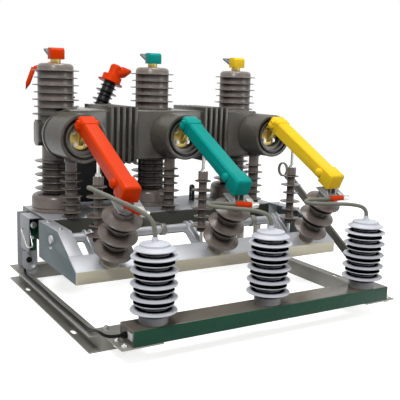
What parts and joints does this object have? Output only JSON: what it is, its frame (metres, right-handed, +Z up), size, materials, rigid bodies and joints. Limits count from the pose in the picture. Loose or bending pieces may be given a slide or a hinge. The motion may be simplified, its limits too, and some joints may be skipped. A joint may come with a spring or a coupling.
{
  "type": "outdoor vacuum circuit breaker",
  "caption": "Outdoor vacuum circuit breaker with ganged knife disconnector, surge arresters on a front beam and a voltage transformer, on a channel base frame.",
  "frame": {"origin": "middle of the bounding box, on the plane the rails stand on", "axes": "+X along the phase row towards the operating lever, -Y towards the surge arresters, +Z up"},
  "size_m": [1.02, 1.0444, 0.754],
  "materials": {
    "arrester_rubber": "satin silicone",
    "black_resin": "satin",
    "black_sheath": "matt",
    "bright_steel": "plated",
    "contact_brass": "polished",
    "dark_enamel": "satin",
    "galvanised_steel": "dull galvanised",
    "green_enamel": "satin",
    "lead_sheath": "satin",
    "pole_resin": "satin cast resin",
    "red_polymer": "satin",
    "teal_polymer": "satin",
    "yellow_polymer": "satin"
  },
  "bodies": {
    "frame": {"arrester_beam": "green_enamel", "arrester_lead_a": "lead_sheath", "arrester_lead_b": "lead_sheath", "arrester_lead_c": "lead_sheath", "beam_plates": "galvanised_steel", "cable_glands": "black_sheath", "contact_insulators": "pole_resin", "control_cable": "black_sheath", "drive_spindle": "bright_steel", "end_frame": "galvanised_steel", "fixed_contacts": "contact_brass", "front_rail": "galvanised_steel", "hinge_lugs": "contact_brass", "lead_lugs": "bright_steel", "lead_sleeves": "red_polymer", "left_rail": "galvanised_steel", "left_support": "galvanised_steel", "lifting_plate": "black_resin", "link_ab": "pole_resin", "link_bc": "pole_resin", "lower_posts": "pole_resin", "mechanism_housing": "dark_enamel", "pole_a": "pole_resin", "pole_b": "pole_resin", "pole_c": "pole_resin", "rear_rail": "galvanised_steel", "right_rail": "galvanised_steel", "right_support": "galvanised_steel", "shaft_brackets": "contact_brass", "slim_posts": "pole_resin", "surge_arresters": "arrester_rubber", "terminal_hood_a": "red_polymer", "terminal_hood_b": "teal_polymer", "terminal_hood_c": "yellow_polymer", "top_terminals": "bright_steel", "transformer_body": "black_resin", "transformer_bushings": "black_resin", "transformer_caps": "red_polymer", "transformer_shelf": "galvanised_steel", "tray_front_strip": "bright_steel", "tray_left_side": "bright_steel", "tray_right_side": "bright_steel", "wire_bail": "bright_steel"},
    "shaft": {"crank_shaft": "bright_steel", "operating_lever": "bright_steel"},
    "blade_a": {"blade_a": "contact_brass", "blade_cover_a": "red_polymer"},
    "pull_a": {"pull_insulator_a": "pole_resin", "lower_rod_end_a": "bright_steel", "upper_rod_a": "bright_steel"},
    "blade_b": {"blade_b": "contact_brass", "blade_cover_b": "teal_polymer"},
    "pull_b": {"pull_insulator_b": "pole_resin", "lower_rod_end_b": "bright_steel", "upper_rod_b": "bright_steel"},
    "blade_c": {"blade_c": "contact_brass", "blade_cover_c": "yellow_polymer"},
    "pull_c": {"pull_insulator_c": "pole_resin", "lower_rod_end_c": "bright_steel", "upper_rod_c": "bright_steel"}
  },
  "joints": [
    {"name": "shaft_turn", "type": "hinge", "parent": "frame", "child": "shaft", "pos_m": [-0.04, -0.03375, 0.209], "axis": [-1, 0, 0], "range_deg": [0, 60]},
    {"name": "blade_a_swing", "type": "hinge", "parent": "frame", "child": "blade_a", "pos_m": [-0.38, -0.03375, 0.536], "axis": [-1, 0, 0], "range_deg": [0, 60]},
    {"name": "blade_b_swing", "type": "hinge", "parent": "frame", "child": "blade_b", "pos_m": [-0.04, -0.03375, 0.536], "axis": [-1, 0, 0], "range_deg": [0, 60]},
    {"name": "blade_c_swing", "type": "hinge", "parent": "frame", "child": "blade_c", "pos_m": [0.3, -0.03375, 0.536], "axis": [-1, 0, 0], "range_deg": [0, 60]},
    {"name": "pull_a_pivot", "type": "hinge", "parent": "shaft", "child": "pull_a", "pos_m": [-0.38, -0.11571, 0.15599], "axis": [-1, 0, 0], "range_deg": [-60, 0]},
    {"name": "pull_b_pivot", "type": "hinge", "parent": "shaft", "child": "pull_b", "pos_m": [-0.04, -0.11571, 0.15599], "axis": [-1, 0, 0], "range_deg": [-60, 0]},
    {"name": "pull_c_pivot", "type": "hinge", "parent": "shaft", "child": "pull_c", "pos_m": [0.3, -0.11571, 0.15599], "axis": [-1, 0, 0], "range_deg": [-60, 0]}
  ],
  "couplings": [
    {"joint": "blade_a_swing", "follows": "shaft_turn", "ratio": 1},
    {"joint": "blade_b_swing", "follows": "shaft_turn", "ratio": 1},
    {"joint": "blade_c_swing", "follows": "shaft_turn", "ratio": 1},
    {"joint": "pull_a_pivot", "follows": "shaft_turn", "ratio": -1},
    {"joint": "pull_b_pivot", "follows": "shaft_turn", "ratio": -1},
    {"joint": "pull_c_pivot", "follows": "shaft_turn", "ratio": -1}
  ]
}
